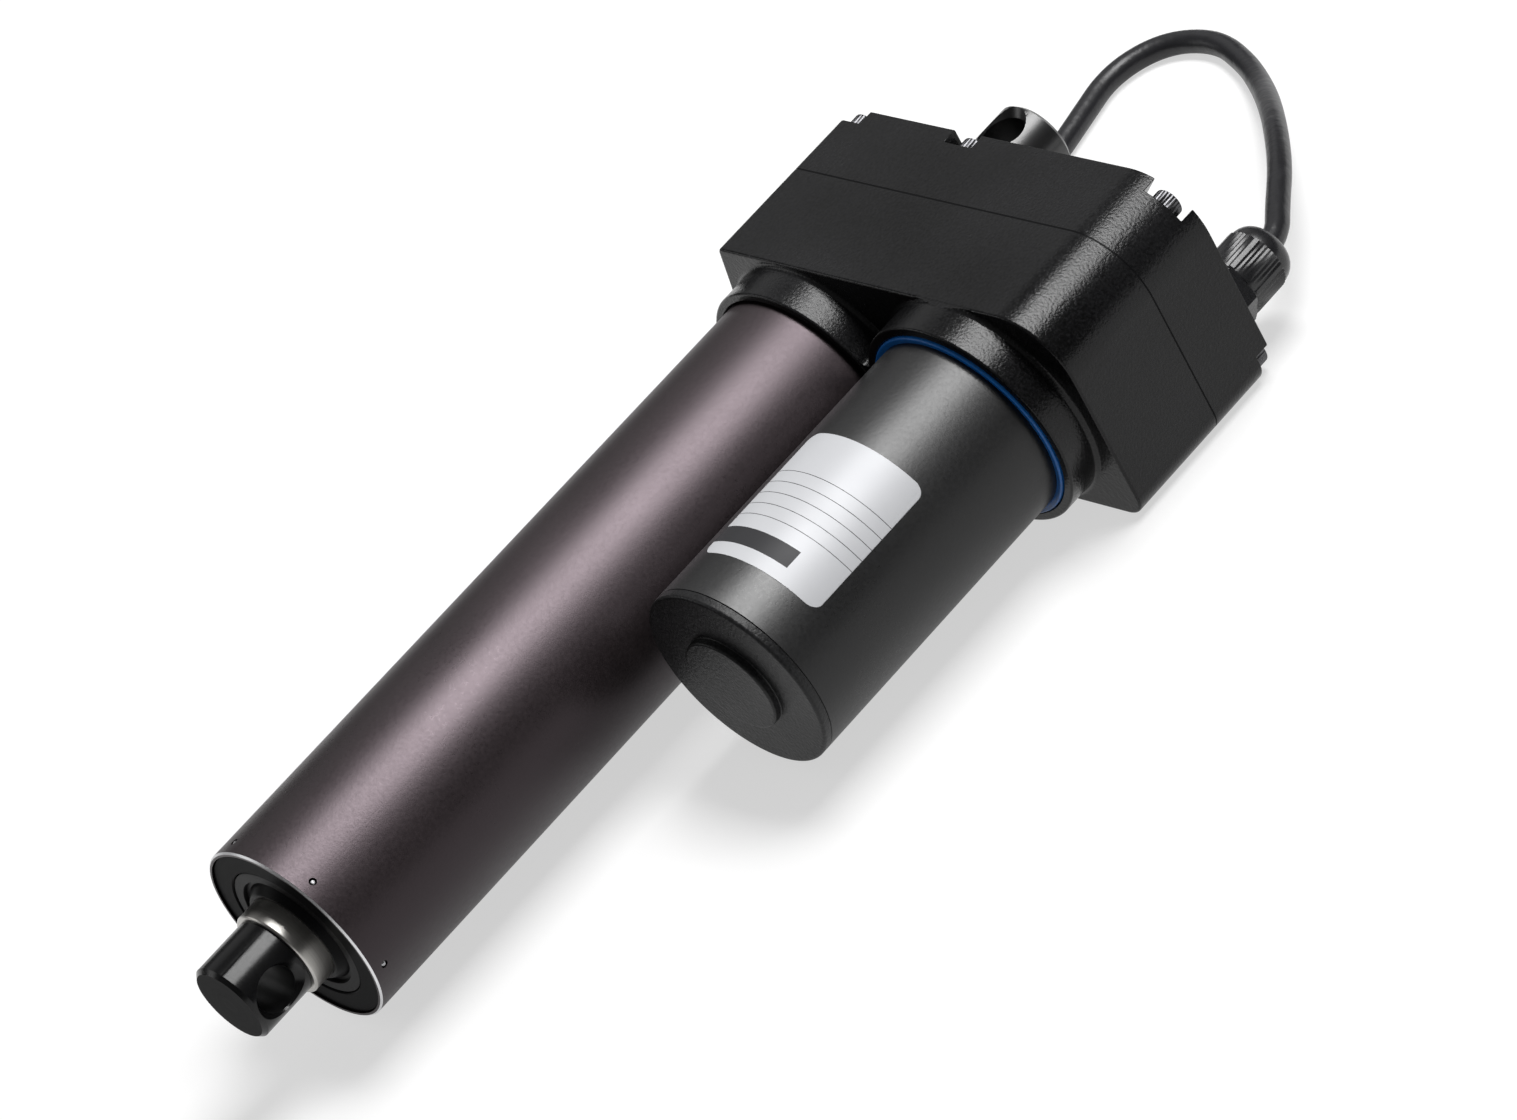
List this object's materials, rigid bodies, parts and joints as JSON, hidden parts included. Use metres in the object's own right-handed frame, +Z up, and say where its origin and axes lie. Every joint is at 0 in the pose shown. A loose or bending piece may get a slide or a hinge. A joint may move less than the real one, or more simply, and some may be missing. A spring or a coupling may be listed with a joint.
{
  "type": "electric linear actuator",
  "caption": "Electric linear actuator: motor beside a ball screw on a cast gear case, push rod in a cover tube, eyes at both ends, cable gland and lead.",
  "frame": {"origin": "centre of the rear pin hole, on the screw axis", "axes": "+X along the push rod, outwards; +Y from the screw axis to the motor axis; +Z up, along the rear pin hole, when the actuator lies on the flat of its gear case"},
  "size_m": [0.4279, 0.1808, 0.07],
  "materials": {
    "powder_coated_casting": "matte",
    "black_cast_cap": "matte",
    "bronze_anodised_tube": "satin",
    "black_anodised_cap": "satin",
    "bare_aluminium": "satin",
    "black_motor_enamel": "satin",
    "black_oxide_steel": "gloss",
    "ground_stainless": "polished",
    "zinc_plated_steel": "satin",
    "bearing_steel": "polished",
    "gear_steel": "satin",
    "lamination_steel": "satin",
    "ferrite": "matte",
    "bronze_bush": "satin",
    "copper": "satin",
    "black_rubber": "matte",
    "blue_seal": "satin",
    "white_acetal": "satin",
    "carbon": "matte",
    "phenolic": "satin",
    "green_board": "satin",
    "grey_terminal": "satin",
    "black_nylon": "satin",
    "black_pvc": "satin",
    "black_strap": "matte",
    "core_insulation": "satin"
  },
  "bodies": {
    "actuator": {"front_housing": "powder_coated_casting", "rear_cover": "powder_coated_casting", "housing_gasket": "black_rubber", "cover_screws": "zinc_plated_steel", "rear_clevis": "black_oxide_steel", "cover_tube": "bronze_anodised_tube", "tube_o_ring": "black_rubber", "front_cap": "black_anodised_cap", "cap_o_ring": "black_rubber", "cap_pins": "zinc_plated_steel", "guide_bush": "bronze_bush", "rod_wiper": "black_rubber", "screw_bearing_outer": "bearing_steel", "screw_bearing_balls": "bearing_steel", "bearing_ring_nut": "gear_steel", "rear_screw_bush": "bronze_bush", "idler_axle": "gear_steel", "motor_can": "black_motor_enamel", "motor_end_cap": "black_cast_cap", "motor_flange": "bare_aluminium", "motor_magnets": "ferrite", "brush_plate": "phenolic", "carbon_brushes": "carbon", "motor_front_bearing": "bearing_steel", "motor_rear_bearing": "bearing_steel", "motor_screws": "zinc_plated_steel", "motor_seal": "blue_seal", "terminal_board": "green_board", "terminal_block": "grey_terminal", "board_screws": "zinc_plated_steel", "inner_wires": "core_insulation", "gland_body": "black_nylon", "gland_nut": "black_nylon", "gland_seal": "black_rubber", "cable_lead": "black_pvc", "cable_hank": "black_pvc", "cable_strap": "black_strap", "cable_cores": "core_insulation"},
    "rod": {"push_rod": "ground_stainless", "rod_end": "black_oxide_steel", "ball_nut": "bearing_steel", "nut_guide_ring": "white_acetal"},
    "screw": {"ball_screw": "bearing_steel", "output_gear": "gear_steel", "gear_key": "gear_steel", "gear_spacer": "gear_steel", "gear_lock_nut": "gear_steel", "screw_bearing_inner": "bearing_steel"},
    "idler": {"idler_gear": "gear_steel", "idler_pinion": "gear_steel", "idler_bush": "bronze_bush"},
    "rotor": {"rotor_shaft": "gear_steel", "armature_core": "lamination_steel", "armature_windings": "copper", "commutator": "copper", "motor_pinion": "gear_steel"}
  },
  "joints": [
    {"name": "rotor_spin", "type": "hinge", "parent": "actuator", "child": "rotor", "pos_m": [0.14, 0.065, 0], "axis": [-1, 0, 0], "range_deg": [0, 129600]},
    {"name": "idler_spin", "type": "hinge", "parent": "actuator", "child": "idler", "pos_m": [0.06, 0.035, 0], "axis": [-1, 0, 0], "range_deg": [-32400, 0]},
    {"name": "screw_spin", "type": "hinge", "parent": "actuator", "child": "screw", "pos_m": [0.077, 0, 0], "axis": [-1, 0, 0], "range_deg": [0, 10800]},
    {"name": "rod_slide", "type": "slide", "parent": "actuator", "child": "rod", "axis": [1, 0, 0], "range_m": [0, 0.15]}
  ],
  "couplings": [
    {"joint": "idler_spin", "follows": "rotor_spin", "ratio": -0.25},
    {"joint": "screw_spin", "follows": "rotor_spin", "ratio": 0.083333},
    {"joint": "rod_slide", "follows": "rotor_spin", "m_per_rad": 0.000066315}
  ]
}
